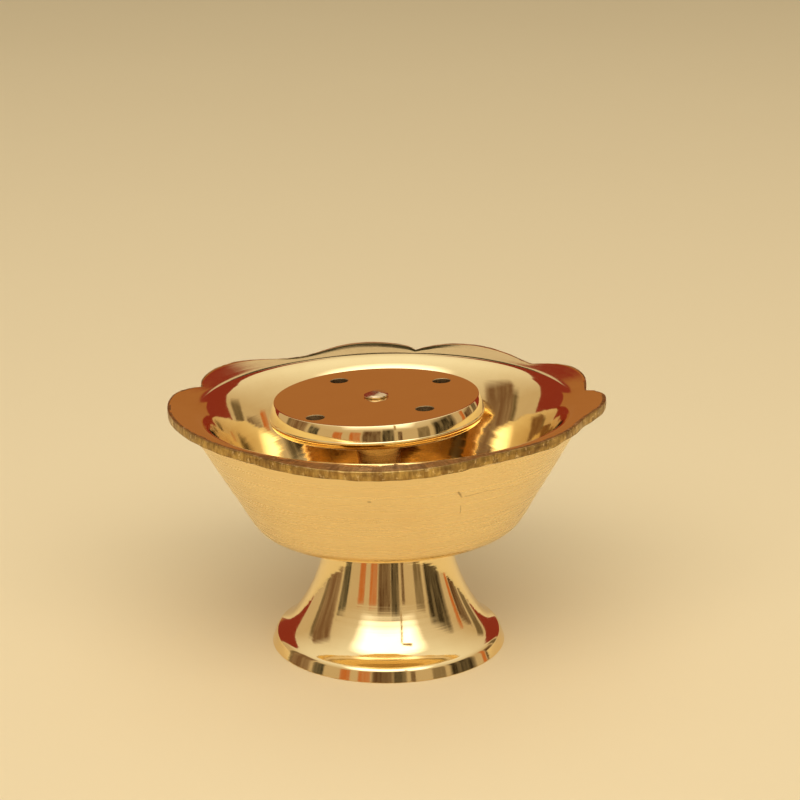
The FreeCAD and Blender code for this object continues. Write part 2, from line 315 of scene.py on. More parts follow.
def ring_mesh(name, rings, arc, closed=True):
    """A mesh of quads between neighbouring rings. A closed one joins its last ring to its first,
    and an open one closes each end with a fan."""
    count, around = rings.shape[:2]
    points = rings.reshape(-1, 3)
    index = np.arange(count * around).reshape(count, around)
    following = np.roll(index, -1, axis=1)
    rows = count if closed else count - 1
    a, b = index[:rows], following[:rows]
    c, d = np.roll(following, -1, axis=0)[:rows], np.roll(index, -1, axis=0)[:rows]
    quads = np.stack([a, b, c, d], axis=2).reshape(-1, 4)
    faces = quads.tolist()
    if not closed:
        for ring, flip in ((0, True), (count - 1, False)):
            centre = len(points)
            points = np.vstack([points, rings[ring].mean(axis=0)])
            for i in range(around):
                pair = [int(index[ring, i]), int(following[ring, i])]
                faces.append([centre] + (pair[::-1] if flip else pair))
    mesh = bpy.data.meshes.new(name)
    mesh.from_pydata((points * MM).tolist(), [], faces)
    work = bmesh.new()
    work.from_mesh(mesh)
    bmesh.ops.recalc_face_normals(work, faces=work.faces)
    work.to_mesh(mesh)
    work.free()
    mesh.shade_smooth()
    along = np.repeat(arc, around)
    along = np.concatenate([along, np.full(len(points) - len(along), arc[0])]) * MM
    attribute = mesh.attributes.new("arc", "FLOAT", "POINT")
    attribute.data.foreach_set("value", along.astype(np.float32))
    return mesh


def add_piece(name, mesh, body, node, materials, place=None):
    """A piece that rides on a body and stands for its CAD node."""
    piece = new_object(name, mesh)
    if place is not None:
        piece.matrix_world = place
    for material in materials:
        mesh.materials.append(material)
    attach(piece, body)
    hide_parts(node)
    return piece


# --- Materials ---
BRIGHT_BRASS = (0.95, 0.76, 0.41)
DULL_BRASS = (0.80, 0.56, 0.24)
EDGE_BRASS = (0.62, 0.42, 0.14)
EDGE_STAIN = (0.36, 0.215, 0.065)
EDGE_DIRT = (0.17, 0.095, 0.045)
STEEL_DARK = (0.52, 0.5, 0.46)
STEEL_PALE = (0.66, 0.65, 0.62)

# How much faster a ring texture changes along the outline than round it, noise scales per metre,
# and how far a scratch wanders, in millimetres.
RING_STRETCH = 180.0
CLOUD_SCALE = 120.0
PATCH_SCALE = 900.0
GRAIN_SCALE = 1500.0
SCRATCH_WANDER = 0.16


def new_material(name):
    material = bpy.data.materials.new(name)
    material.use_nodes = True
    tree = material.node_tree
    tree.nodes.clear()
    return material, tree


def new_surface(name, kind, values=None):
    """A material whose surface is one shader node of that kind, with its tree and that node."""
    material, tree = new_material(name)
    output = add_node(tree, "ShaderNodeOutputMaterial")
    shader = add_node(tree, kind, values)
    link(tree, shader.outputs[0], output.inputs[0])
    return material, tree, shader


def add_node(tree, kind, values=None, **settings):
    node = tree.nodes.new(kind)
    for key, value in settings.items():
        setattr(node, key, value)
    for key, value in (values or {}).items():
        node.inputs[key].default_value = value
    return node


def link(tree, source, target):
    tree.links.new(source, target)


def noise(tree, vector, scale, detail=2.0, rough=0.5):
    node = add_node(tree, "ShaderNodeTexNoise", {"Scale": scale, "Detail": detail, "Roughness": rough})
    link(tree, vector, node.inputs["Vector"])
    return node.outputs["Fac"]


def remap(tree, value, low, high, to_low, to_high):
    node = add_node(tree, "ShaderNodeMapRange",
                    {"From Min": low, "From Max": high, "To Min": to_low, "To Max": to_high})
    link(tree, value, node.inputs["Value"])
    return node.outputs["Result"]


def maths(tree, operation, first, second):
    node = add_node(tree, "ShaderNodeMath", operation=operation)
    for socket, value in zip(node.inputs, (first, second)):
        if isinstance(value, (int, float)):
            socket.default_value = value
        else:
            link(tree, value, socket)
    return node.outputs[0]


def bump(tree, height, depth, normal=None):
    """A normal bumped by the height, with the depth in millimetres."""
    node = add_node(tree, "ShaderNodeBump", {"Strength": 1.0, "Distance": depth * MM})
    link(tree, height, node.inputs["Height"])
    if normal is not None:
        link(tree, normal, node.inputs["Normal"])
    return node.outputs[0]


def object_place(tree):
    return add_node(tree, "ShaderNodeTexCoord").outputs["Object"]


def axes_of(tree, vector):
    """The sockets of the vector's X, Y and Z."""
    apart = add_node(tree, "ShaderNodeSeparateXYZ")
    link(tree, vector, apart.inputs[0])
    return [apart.outputs[axis] for axis in "XYZ"]


def blend_colours(tree, factor, first, second):
    node = add_node(tree, "ShaderNodeMix", data_type="RGBA")
    link(tree, factor, node.inputs[0])
    for socket, value in ((node.inputs[6], first), (node.inputs[7], second)):
        if isinstance(value, tuple):
            socket.default_value = (*value, 1.0)
        else:
            link(tree, value, socket)
    return node.outputs[2]


def ring_coordinates(tree, across):
    """Coordinates that change quickly along the turned outline and slowly round it, so that a
    texture makes rings that fade in and out. across is how many times faster."""
    arc = add_node(tree, "ShaderNodeAttribute", attribute_name="arc")
    place = object_place(tree)
    x, y, _ = axes_of(tree, place)
    together = add_node(tree, "ShaderNodeCombineXYZ")
    link(tree, x, together.inputs["X"])
    link(tree, y, together.inputs["Y"])
    link(tree, maths(tree, "MULTIPLY", arc.outputs["Fac"], across), together.inputs["Z"])
    return together.outputs[0], place


def brass(name, bright, dull, roughness, ring_depth, ring_width=0.35, anisotropic=0.0, tarnish=0.25,
          bands=0.0, speckle=0.0, grain_depth=0.0, mottle=0.5, scratches=()):
    """Turned brass. bright and dull are its colours where polish is good and poor (darkened as
    painted shade for the stem and the undersides), roughness is (low, high). ring_depth and
    ring_width are the tool rings' depth and spacing and grain_depth the surface grain's, in
    millimetres. bands is how much the colour changes from ring to ring, mottle how much of the
    roughness's change is in patches, and scratches are single dark ones."""
    material, tree, shader = new_surface(name, "ShaderNodeBsdfPrincipled",
                                         {"Metallic": 1.0, "Anisotropic": anisotropic})
    rings, place = ring_coordinates(tree, RING_STRETCH)
    ring_scale = 1.0 / (ring_width * MM * RING_STRETCH)

    clouds = noise(tree, place, CLOUD_SCALE, 4.0, 0.6)
    patches = noise(tree, place, PATCH_SCALE, 3.0, 0.6)
    dirt = remap(tree, clouds, 0.42, 0.75, 0.0, tarnish)
    colour = blend_colours(tree, dirt, bright, dull)
    if bands > 0:
        wide = noise(tree, rings, ring_scale * 0.3, 3.0, 0.6)
        colour = blend_colours(tree, remap(tree, wide, 0.4, 0.66, 0.0, bands), colour, dull)
    dark = (dull[0] * 0.35, dull[1] * 0.3, dull[2] * 0.3)
    if speckle > 0:
        colour = blend_colours(tree, remap(tree, patches, 0.6, 0.72, 0.0, speckle), colour, dark)
    if scratches:
        uneven_place = shaken(tree, place, PATCH_SCALE, SCRATCH_WANDER)
        for scratch in scratches:
            colour = blend_colours(tree, scratch_share(tree, uneven_place, *scratch), colour, dark)
    link(tree, colour, shader.inputs["Base Color"])

    fine = noise(tree, rings, ring_scale, 2.0, 0.55)
    uneven = maths(tree, "ADD", maths(tree, "MULTIPLY", fine, 1.0 - mottle),
                   maths(tree, "MULTIPLY", patches, mottle))
    link(tree, remap(tree, uneven, 0.35, 0.65, *roughness), shader.inputs["Roughness"])

    normal = bump(tree, fine, ring_depth)
    if grain_depth > 0:
        normal = bump(tree, noise(tree, place, GRAIN_SCALE, 4.0, 0.65), grain_depth, normal)
    link(tree, normal, shader.inputs["Normal"])
    if anisotropic > 0:
        tangent = add_node(tree, "ShaderNodeTangent", direction_type="RADIAL", axis="Z")
        link(tree, tangent.outputs[0], shader.inputs["Tangent"])
    return material


def vector_maths(tree, operation, first, second):
    node = add_node(tree, "ShaderNodeVectorMath", operation=operation)
    for socket, value in zip(node.inputs, (first, second)):
        if isinstance(value, Vector):
            socket.default_value = value
        else:
            link(tree, value, socket)
    return node.outputs["Value"] if operation in ("DOT_PRODUCT", "LENGTH") else node.outputs[0]


def shaken(tree, place, scale, reach):
    """The coordinates moved about by up to the reach, in millimetres."""
    clouds = add_node(tree, "ShaderNodeTexNoise", {"Scale": scale, "Detail": 2.0})
    link(tree, place, clouds.inputs["Vector"])
    centred = vector_maths(tree, "SUBTRACT", clouds.outputs["Color"], Vector((0.5, 0.5, 0.5)))
    push = vector_maths(tree, "MULTIPLY", centred, Vector((2, 2, 2)) * reach * MM)
    return vector_maths(tree, "ADD", place, push)


def scratch_share(tree, place, start, end, half_width, depth):
    """How much of one scratch's colour shows: depth along its middle, and 0 away from it."""
    start, end = Vector(start) * MM, Vector(end) * MM
    length = (end - start).length
    along = (end - start) / length
    offset = vector_maths(tree, "SUBTRACT", place, start)
    reach = vector_maths(tree, "DOT_PRODUCT", offset, along)
    run = remap(tree, reach, 0.0, length, 0.0, length)
    # The squared distance from the nearest point of the scratch is offset^2 - run (2 reach - run).
    beside = maths(tree, "SUBTRACT", maths(tree, "MULTIPLY", reach, 2.0), run)
    far_squared = maths(tree, "SUBTRACT", vector_maths(tree, "DOT_PRODUCT", offset, offset),
                        maths(tree, "MULTIPLY", run, beside))
    width_squared = (half_width * MM) ** 2
    return remap(tree, far_squared, 0.2 * width_squared, width_squared, depth, 0.0)


def filed_brass():
    """The rim's edge: short file strokes across it, with stains between bright high spots."""
    material, tree, shader = new_surface("bowl_filed_edge", "ShaderNodeBsdfPrincipled",
                                         {"Metallic": 1.0})
    place = object_place(tree)
    x, y, z = axes_of(tree, place)
    across = add_node(tree, "ShaderNodeCombineXYZ")
    turn = maths(tree, "ARCTAN2", y, x)
    link(tree, maths(tree, "MULTIPLY", turn, RIM_R * MM), across.inputs["X"])
    link(tree, maths(tree, "MULTIPLY", y, 0.1), across.inputs["Y"])
    link(tree, maths(tree, "MULTIPLY", z, 0.25), across.inputs["Z"])
    strokes = noise(tree, across.outputs[0], 1500.0, 3.0, 0.65)
    stains = noise(tree, place, 420.0, 4.0, 0.65)
    high = noise(tree, place, 1100.0, 3.0, 0.6)
    colour = blend_colours(tree, remap(tree, strokes, 0.36, 0.62, 0.0, 1.0), EDGE_BRASS, EDGE_STAIN)
    colour = blend_colours(tree, remap(tree, stains, 0.45, 0.7, 0.0, 0.8), colour, EDGE_DIRT)
    colour = blend_colours(tree, remap(tree, high, 0.58, 0.7, 0.0, 0.7), colour, BRIGHT_BRASS)
    link(tree, colour, shader.inputs["Base Color"])
    link(tree, remap(tree, strokes, 0.3, 0.7, 0.26, 0.5), shader.inputs["Roughness"])
    normal = bump(tree, high, 0.03, bump(tree, strokes, 0.03))
    link(tree, normal, shader.inputs["Normal"])
    return material


def plated_steel():
    material, tree, shader = new_surface("plated_steel", "ShaderNodeBsdfPrincipled",
                                         {"Metallic": 1.0})
    place = object_place(tree)
    clouds = noise(tree, place, 400.0, 4.0, 0.6)
    colour = blend_colours(tree, clouds, STEEL_DARK, STEEL_PALE)
    link(tree, colour, shader.inputs["Base Color"])
    link(tree, remap(tree, clouds, 0.3, 0.7, 0.28, 0.45), shader.inputs["Roughness"])
    link(tree, bump(tree, noise(tree, place, 2500.0, 3.0, 0.6), 0.004), shader.inputs["Normal"])
    return material


# --- Foot ---
def seat_height(x):
    """Height of the leaning plane that the bowl sits on."""
    return FOOT_H + (x - BOWL_SHIFT) * math.tan(math.radians(BOWL_LEAN))


def foot_outline(ceiling, recess_r):
    """The foot's outside, top, bore and hollow."""
    inner = [(BASE_R - FOOT_WALL, 0.0), (BAND_TOP_R - STEP - FOOT_WALL, BAND_H + STEP)]
    inner += [(radius - FOOT_WALL, height) for radius, height in FLARE[:-3]]
    top_r = inner[-1][0] - 0.8
    runs = [
        straight((BASE_R - FOOT_WALL, 0), (BASE_R, 0), 0.5),
        straight((BASE_R, 0), (BAND_TOP_R, BAND_H), 0.16),
        ring_waves(spline([(BAND_TOP_R, BAND_H)] + FLARE, 0.16), 0.00055, 11),
        straight(FLARE[-1], (NECK_R, FOOT_H), 0.1),
        straight((NECK_R, FOOT_H), (ROD_HOLE_R, FOOT_H), 1.2),
        straight((ROD_HOLE_R, FOOT_H), (ROD_HOLE_R, FOOT_CEILING), 1.0),
        straight((ROD_HOLE_R, FOOT_CEILING), (recess_r, FOOT_CEILING), 0.6),
        straight((recess_r, FOOT_CEILING), (recess_r, ceiling), 0.15),
        straight((recess_r, ceiling), (top_r, ceiling), 0.6),
        straight((top_r, ceiling), inner[-1], 0.5),
        ring_waves(spline(inner[::-1], 0.4), 0.002, 12),
    ]
    return joined(runs, [0.12, 0.5, 0, 0.04, 0, 0, 0.1, 0.08, 1.2, 0, 0.2])


def add_foot():
    recess_r = WASHER_R + 0.6
    outline = foot_outline(FOOT_CEILING - 0.3, recess_r)
    rings = revolve(outline, even_angles(FOOT_AROUND))
    # The top follows the bowl's lean, and the hollow round the washer and the bore the rod's.
    top = np.clip((rings[..., 2] - (FOOT_H - 1.2)) / 1.2, 0, 1)
    rings[..., 2] += top * (seat_height(rings[..., 0]) - FOOT_H)
    outline_r = outline[:, 0][:, None]
    near_rod = np.clip((5.5 - outline_r) / (5.5 - recess_r), 0, 1) * np.ones_like(top)
    lean = np.array(ROD_FRAME)[:3, :3]
    leaning = rings @ lean.T
    under_top = rings[..., 2] < FOOT_H - 1.5
    share = (near_rod * under_top)[..., None]
    rings = rings * (1 - share) + leaning * share
    through = (outline_r < ROD_HOLE_R + 0.05) * np.ones_like(top) * ~under_top
    rings[..., 0] -= through * FOOT_H * math.tan(math.radians(ROD_LEAN))
    mesh = ring_mesh("foot_turned", rings, arc_length(outline))
    outside = brass("foot_polished", BRIGHT_BRASS, DULL_BRASS, (0.04, 0.1), 0.005,
                    ring_width=0.4, anisotropic=0.35)
    hollow = brass("foot_cast", (0.72, 0.5, 0.24), (0.45, 0.3, 0.15), (0.3, 0.5), 0.02,
                   ring_width=0.6, tarnish=0.8, speckle=0.4, grain_depth=0.03)
    add_piece("foot_turned", mesh, "stand", "foot", [outside, hollow])
    for face in mesh.polygons:
        face.material_index = 1 if inside_foot(face.center) else 0


def inside_foot(centre):
    """True for a face of the hollow under the foot."""
    radius = math.hypot(centre.x, centre.y) / MM
    height = centre.z / MM
    wall = np.interp(height, HOLLOW_HEIGHTS, HOLLOW_LIMITS)
    return radius < wall and height < FOOT_CEILING + 0.5


# --- Bowl ---
def rim_top(radius):
    return RIM_Z + RIM_SLOPE * (radius - RIM_R)


def lobe_share(lobe, next_notch, angle):
    start, start_r, tip, tip_r, lean_in, lean_out = lobe
    end, end_r = next_notch
    if angle <= tip:
        share, base, lean = (angle - start) / (tip - start), start_r, lean_in
    else:
        share, base, lean = (end - angle) / (end - tip), end_r, lean_out
    return base + (tip_r - base) * max(0.0, math.sin(0.5 * math.pi * share)) ** lean


def lobe_outline():
    """The rim's angles, closer together at the notches, and its radius at each of them."""
    angles, radii = [], []
    nexts = [(lobe[0], lobe[1]) for lobe in LOBES[1:]] + [(LOBES[0][0] + 360.0, LOBES[0][1])]
    for lobe, after in zip(LOBES, nexts):
        start, tip, end = lobe[0], lobe[2], after[0]
        knots = [start + (tip - start) * i / 7 for i in range(7)]
        knots += [tip + (end - tip) * i / 7 for i in range(8)]
        values = [lobe_share(lobe, after, a) for a in knots]
        points = [(v * math.cos(math.radians(a)), v * math.sin(math.radians(a)))
                  for a, v in zip(knots, values)]
        dense = spline(points, 0.1)
        turn = np.degrees(np.unwrap(np.arctan2(dense[:, 1], dense[:, 0])))
        turn += 360.0 * round((start - turn[0]) / 360.0)
        count = int(round((end - start) * 1.12))
        u = np.linspace(0, 1, count + 1)[:-1]
        u = u - NOTCH_CROWDING * np.sin(2 * math.pi * u) / math.pi
        wanted = start + (end - start) * u
        angles.extend(wanted)
        radii.extend(np.interp(wanted, turn, np.hypot(dense[:, 0], dense[:, 1])))
    return np.radians(angles), np.array(radii)


def bumpy(count, seed, smooth):
    """Uneven values round a closed ring, averaged over a few neighbours."""
    rng = np.random.default_rng(seed)
    values = rng.normal(0, 1, count)
    kernel = np.hanning(smooth + 2)[1:-1]
    wrapped = np.concatenate([values[-smooth:], values, values[:smooth]])
    out = np.convolve(wrapped, kernel / kernel.sum(), mode="same")[smooth:-smooth]
    return out / (out.std() + 1e-9)


def rim_rings(angles, rim_r, start_r, shares, drop):
    """Rings that lead from the round wall out to the lobes, each by its share of the way."""
    rings = []
    for share in shares:
        radius = start_r + (rim_r - start_r) * share
        rings.append(np.stack([radius * np.cos(angles), radius * np.sin(angles),
                               rim_top(radius) - drop], axis=1))
    return np.array(rings)


def rim_upper_side(angles, rim_r, dents):
    """The rim's upper side from the lobes inwards, and which of its points the file reached."""
    count = len(angles)
    shares = np.linspace(1, 0, 16)[:-1]
    top = rim_rings(angles, rim_r, RIM_TURN_R, shares, 0.0)
    at_back = np.clip(2.5 * np.sin(angles) - 1.5, 0, 1)
    top[..., 2] += TIP_CURL * np.outer(np.clip((shares - 0.35) / 0.65, 0, 1) ** 2, at_back)
    top[0, :, 2] -= 0.05 + 0.03 * np.abs(bumpy(count, 32, 2))
    turn = np.degrees(angles) % 360.0
    width = np.interp(turn, FILED_ANGLES, FILED_WIDTHS) * (1 + 0.12 * bumpy(count, 33, 4))
    filed = rim_r - np.hypot(top[..., 0], top[..., 1]) < width
    rough = np.array([bumpy(count, 60 + i, 3) for i in range(len(top))])
    top[..., 2] -= FILE_ROUGHNESS * (1 + rough) * filed
    for ring, share in ((0, 1.0), (1, 0.45)):
        top[ring, :, :2] *= (1 - share * dents / rim_r)[:, None]
        top[ring, :, 2] -= 0.6 * share * dents
    return top, filed


def rim_edge(angles, rim_r, dents, wobble, low, high):
    """The rings up the rim's thickness from low to high: bulged a little, and worn."""
    edge = []
    for i in range(1, EDGE_STEPS):
        share = i / EDGE_STEPS
        bulge = math.sin(math.pi * share)
        wear = 0.02 * bumpy(len(angles), 40 + i, 5) + 0.03 * wobble
        radius = rim_r + (EDGE_BULGE + wear) * bulge - 0.05 - dents * share
        edge.append(np.stack([radius * np.cos(angles), radius * np.sin(angles),
                              low + (high - low) * share], axis=1))
    return np.array(edge)


def rim_dents(angles):
    """How deep the rim's edge is dented at each angle, in millimetres."""
    turn = np.degrees(angles) % 360.0
    return sum(depth * np.exp(-((turn - angle) / reach) ** 2) for angle, reach, depth in RIM_DENTS)


def bowl_materials():
    outside = brass("bowl_satin", (0.95, 0.765, 0.42), (0.86, 0.63, 0.30), (0.24, 0.31), 0.0006,
                    ring_width=0.8, anisotropic=0.5, tarnish=0.25, bands=0.2, mottle=0.1,
                    scratches=OUTSIDE_SCRATCHES)
    inside = brass("bowl_polished", BRIGHT_BRASS, DULL_BRASS, (0.04, 0.09), 0.0045,
                   ring_width=0.45, anisotropic=0.25)
    # The underside's colours are darkened as painted shade under the bowl, with random tarnish clouds
    # on top.
    painted_shade_below = brass("bowl_underside_painted_shade", (0.60, 0.44, 0.20), (0.36, 0.24, 0.10), (0.16, 0.28), 0.002,
                  ring_width=0.6, tarnish=0.6)
    return [outside, inside, filed_brass(), painted_shade_below]


def add_bowl():
    angles, rim_r = lobe_outline()
    outer = BOWL_OUTER + [(RIM_UNDER_R, rim_top(RIM_UNDER_R) - RIM_THICKNESS)]
    inner = BOWL_INNER + [(RIM_TURN_R, rim_top(RIM_TURN_R))]
    outer_wall = ring_waves(spline(outer, 0.42, (1, 0.38), (1, RIM_SLOPE)), 0.0012, 21)
    inner_wall = ring_waves(spline(inner[::-1], 0.3, (-1, -RIM_SLOPE), (-1, 0)), 0.0007, 22)
    wobble = bumpy(len(angles), 31, 5)
    dents = rim_dents(angles)
    under = rim_rings(angles, rim_r, RIM_UNDER_R, np.linspace(0, 1, 7)[1:], RIM_THICKNESS)
    under[-1, :, 2] += 0.05 * wobble
    top, filed = rim_upper_side(angles, rim_r, dents)
    edge = rim_edge(angles, rim_r, dents, wobble, under[-1, :, 2], top[0, :, 2])

    floor_r = np.array([*FLOOR_RING_R, ROD_HOLE_R])
    floor = np.stack([floor_r, np.full(len(floor_r), BOWL_FLOOR)], axis=1)
    seat = np.stack([floor_r[::-1], np.zeros(len(floor_r))], axis=1)
    rings = np.concatenate([
        revolve(outer_wall, angles), under, edge, top, revolve(inner_wall[1:], angles),
        revolve(floor, angles), revolve(seat, angles),
    ])
    mesh = ring_mesh("bowl_spun", rings, arc_length(rings[:, 0]))
    add_piece("bowl_spun", mesh, "stand", "bowl", bowl_materials(), BOWL_FRAME)

    polished, edge_filed, painted_shade_below = 1, 2, 3
    first_edge = len(outer_wall) + len(under) - 1
    first_top = first_edge + len(edge) + 1
    zone = np.zeros((len(rings), len(angles)), int)
    zone[first_edge:first_top] = edge_filed
    zone[first_top:first_top + len(top) + len(inner_wall) + len(floor) - 1] = polished
    zone[first_top:first_top + len(top)][filed] = edge_filed
    # The underside and the seat take the painted-shade underside material.
    zone[:np.searchsorted(outer_wall[:, 0], SHADED_UNDERSIDE_R)] = painted_shade_below
    zone[-len(seat) - 1:] = painted_shade_below
    mesh.polygons.foreach_set("material_index", zone.ravel().astype(np.int32))


# --- Stem ---
def add_stem():
    top = PLATE_TOP - PLATE_H - PLATE_GAP
    low = FOOT_H + BOWL_FLOOR
    foot_top = low + STEM_FLANGE_H
    neck = [
        (STEM_FOOT_R - 0.9, foot_top),
        (STEM_WAIST_R + 0.4, foot_top + 2.6),
        (STEM_WAIST_R, foot_top + 7.0),
        (STEM_WAIST_R + 0.3, top - STEM_FLANGE_H - 4.0),
        (STEM_TOP_R - 0.9, top - STEM_FLANGE_H),
    ]
    runs = [
        straight((ROD_HOLE_R, low), (STEM_FOOT_R, low), 1.0),
        straight((STEM_FOOT_R, low), (STEM_FOOT_R, foot_top), 0.3),
        straight((STEM_FOOT_R, foot_top), neck[0], 0.3),
        ring_waves(spline(neck, 0.2, (-0.6, 1), (0.8, 1)), 0.0008, 51),
        straight(neck[-1], (STEM_TOP_R, top - STEM_FLANGE_H), 0.3),
        straight((STEM_TOP_R, top - STEM_FLANGE_H), (STEM_TOP_R, top), 0.3),
        straight((STEM_TOP_R, top), (ROD_HOLE_R, top), 1.0),
        straight((ROD_HOLE_R, top), (ROD_HOLE_R, low), 2.5),
    ]
    outline = joined(runs, [0.2, 0.2, 0.25, 0.25, 0.2, 0.2, 0, 0])
    rings = revolve(outline, even_angles(STEM_AROUND))
    # The lower flange is cut to lie flat on the bowl's floor, which leans less than the rod.
    to_bowl = BOWL_FRAME.inverted() @ ROD_FRAME
    axes = np.array(to_bowl)[:3, :3]
    offset = np.array(to_bowl)[:3, 3] / MM
    height_in_bowl = rings @ axes[2] + offset[2]
    bottom = np.clip((foot_top - rings[..., 2]) / STEM_FLANGE_H, 0, 1)
    rings[..., 2] -= bottom * (height_in_bowl - BOWL_FLOOR - (rings[..., 2] - low))
    mesh = ring_mesh("stem_painted_shade", rings, arc_length(outline))
    # Both stem colours are dark brown: painted shade for the stem's place in the shadow under the
    # plate.
    material = brass("stem_painted_shade", (0.60, 0.34, 0.11), (0.36, 0.18, 0.05), (0.2, 0.34), 0.004,
                     anisotropic=0.3, tarnish=0.7)
    add_piece("stem_painted_shade", mesh, "stand", "stem", [material], ROD_FRAME)


# --- Stick plate ---
def add_plate():
    under_z = PLATE_TOP - PLATE_H
    lip = spline([
        (PLATE_R - 0.38, PLATE_TOP - 3.8),
        (PLATE_R, PLATE_TOP - 3.0),
        (PLATE_R - 0.1, PLATE_TOP - 2.5),
    ], 0.08, (0.9, 1), (-1, 0.9))
    wall = spline([
        (PLATE_R - 0.1, PLATE_TOP - 2.5),
        (PLATE_R - 0.22, PLATE_TOP - 1.9),
        (PLATE_R - 0.37, PLATE_TOP - 1.25),
        (PLATE_R - 0.58, PLATE_TOP - 0.65),
        (PLATE_TOP_R, PLATE_TOP),
    ], 0.08)
    runs = [
        straight((PLATE_BORE_R, under_z), (PLATE_UNDER_R, under_z), 0.8),
        straight((PLATE_UNDER_R, under_z), tuple(lip[0]), 0.15),
        lip,
        wall,
        straight((PLATE_TOP_R, PLATE_TOP), (PLATE_BORE_R, PLATE_TOP), 0.6),
        straight((PLATE_BORE_R, PLATE_TOP), (PLATE_BORE_R, under_z), 1.4),
    ]
    outline = joined(runs, [0.3, 0.15, 0.04, 0.12, 0.06, 0.06])
    mesh = ring_mesh("plate_turned", revolve(outline, even_angles(PLATE_AROUND)),
                     arc_length(outline))
    polished = brass("plate_polished", BRIGHT_BRASS, DULL_BRASS, (0.03, 0.07), 0.0005,
                     anisotropic=0.15, tarnish=0.15)
    # The plate's underside colours are darkened: painted shade under the plate.
    under = brass("plate_turned_below", (0.66, 0.36, 0.11), (0.4, 0.2, 0.06), (0.22, 0.34), 0.006,
                  tarnish=0.6, grain_depth=0.004)
    bore = brass("plate_bores", (0.5, 0.36, 0.18), (0.2, 0.14, 0.08), (0.35, 0.6), 0.01,
                 tarnish=0.9, speckle=0.5, grain_depth=0.02)
    materials = [polished, bore, under]
    piece = add_piece("plate_turned", mesh, "plate", "stick_plate", materials,
                      ROD_FRAME)
    # Faces on the plate's underside take the painted-shade colours.
    for face in mesh.polygons:
        if face.center.z < (under_z + 0.3) * MM:
            face.material_index = materials.index(under)
    drill_holes(piece, bore)


def drill_holes(piece, bore):
    """Cuts the stick holes with one drill-shaped solid for each."""
    low, high = -1.0, PLATE_H + 0.25
    flared_r = STICK_HOLE_R + STICK_HOLE_FLARE
    drill_outline = joined([
        straight((0.01, low), (STICK_HOLE_R, low), 1.0),
        straight((STICK_HOLE_R, low), (STICK_HOLE_R, PLATE_H - 0.1), 1.0),
        straight((STICK_HOLE_R, PLATE_H - 0.1), (flared_r, high), 0.1),
        straight((flared_r, high), (0.01, high), 1.0),
    ], [0, 0, 0, 0], closed=False)
    for radius, angle in STICK_HOLES:
        rings = revolve(drill_outline, even_angles(HOLE_AROUND))
        turn = math.radians(angle)
        rings += np.array([radius * math.cos(turn), radius * math.sin(turn), PLATE_TOP - PLATE_H])
        mesh = ring_mesh("drill", rings, arc_length(drill_outline), closed=False)
        mesh.materials.append(bore)
        drill = new_object("drill", mesh)
        drill.matrix_world = ROD_FRAME
        cut = piece.modifiers.new("hole", "BOOLEAN")
        cut.operation = "DIFFERENCE"
        cut.object = drill
        cut.solver = "EXACT"
        cut.material_mode = "TRANSFER"
        apply_modifiers(piece)
        bpy.data.objects.remove(drill)
    piece.data.set_sharp_from_angle(angle=math.radians(28))


def apply_modifiers(piece):
    """Replaces the piece's mesh by what its modifiers make of it."""
    bpy.context.view_layer.update()
    graph = bpy.context.evaluated_depsgraph_get()
    made = bpy.data.meshes.new_from_object(piece.evaluated_get(graph), depsgraph=graph,
                                           preserve_all_data_layers=True)
    old = piece.data
    piece.modifiers.clear()
    piece.data = made
    made.name = old.name + "_cut"


# --- Rod, washer and nut ---
def add_rod():
    head_low = PLATE_TOP + PLATE_GAP
    lower = straight((ROD_R, ROD_END), (ROD_R, THREAD_TOP), THREAD_PITCH / 8)
    shank = straight((ROD_R, THREAD_TOP), (ROD_R, head_low), 3.0)[1:]
    rise = np.linspace(0, 0.5 * math.pi, 22)
    dome = np.stack([HEAD_R * np.cos(rise) ** 0.8,
                     head_low + HEAD_BRIM + (HEAD_H - HEAD_BRIM) * np.sin(rise)], axis=1)[:-1]
    edge = np.array([(HEAD_R - 0.12, head_low), (HEAD_R - 0.03, head_low + 0.04),
                     (HEAD_R, head_low + 0.1)])
    outline = np.vstack([[(ROD_R - 0.35, ROD_END)], lower, shank, edge, dome])
    rings = revolve(outline, even_angles(ROD_AROUND))
    radius = np.hypot(rings[..., 0], rings[..., 1])
    turn = np.arctan2(rings[..., 1], rings[..., 0]) / (2 * math.pi)
    height = rings[..., 2]
    phase = (height / THREAD_PITCH - turn) % 1.0
    groove = THREAD_DEPTH * (1 - np.abs(2 * phase - 1)) * (height < THREAD_TOP) * (radius > ROD_R - 0.1)
    fade = np.clip((THREAD_TOP - height) / THREAD_PITCH, 0, 1)
    shrink = 1 - groove * fade / np.maximum(radius, 0.1)
    rings[..., 0] *= shrink
    rings[..., 1] *= shrink
    hammer_head(rings, head_low)
    mesh = ring_mesh("rod_peened", rings, arc_length(outline), closed=False)
    material = brass("rod_hammered", (0.84, 0.67, 0.42), (0.5, 0.33, 0.16), (0.08, 0.2), 0.002,
                     tarnish=0.7, speckle=0.4, grain_depth=0.004)
    add_piece("rod_peened", mesh, "stand", "centre_rod", [material], ROD_FRAME)


def hammer_head(rings, low):
    """Presses flats into the head, each a plane that points may not rise above."""
    head = rings[..., 2] > low + 0.05
    firmness = 0.92
    for azimuth, tilt, distance in HEAD_BLOWS:
        a, t = math.radians(azimuth), math.radians(tilt)
        normal = np.array([math.sin(t) * math.cos(a), math.sin(t) * math.sin(a), math.cos(t)])
        above = rings @ normal - low * normal[2] - distance
        push = np.where(head & (above > 0), above, 0.0)
        rings -= push[..., None] * normal * firmness


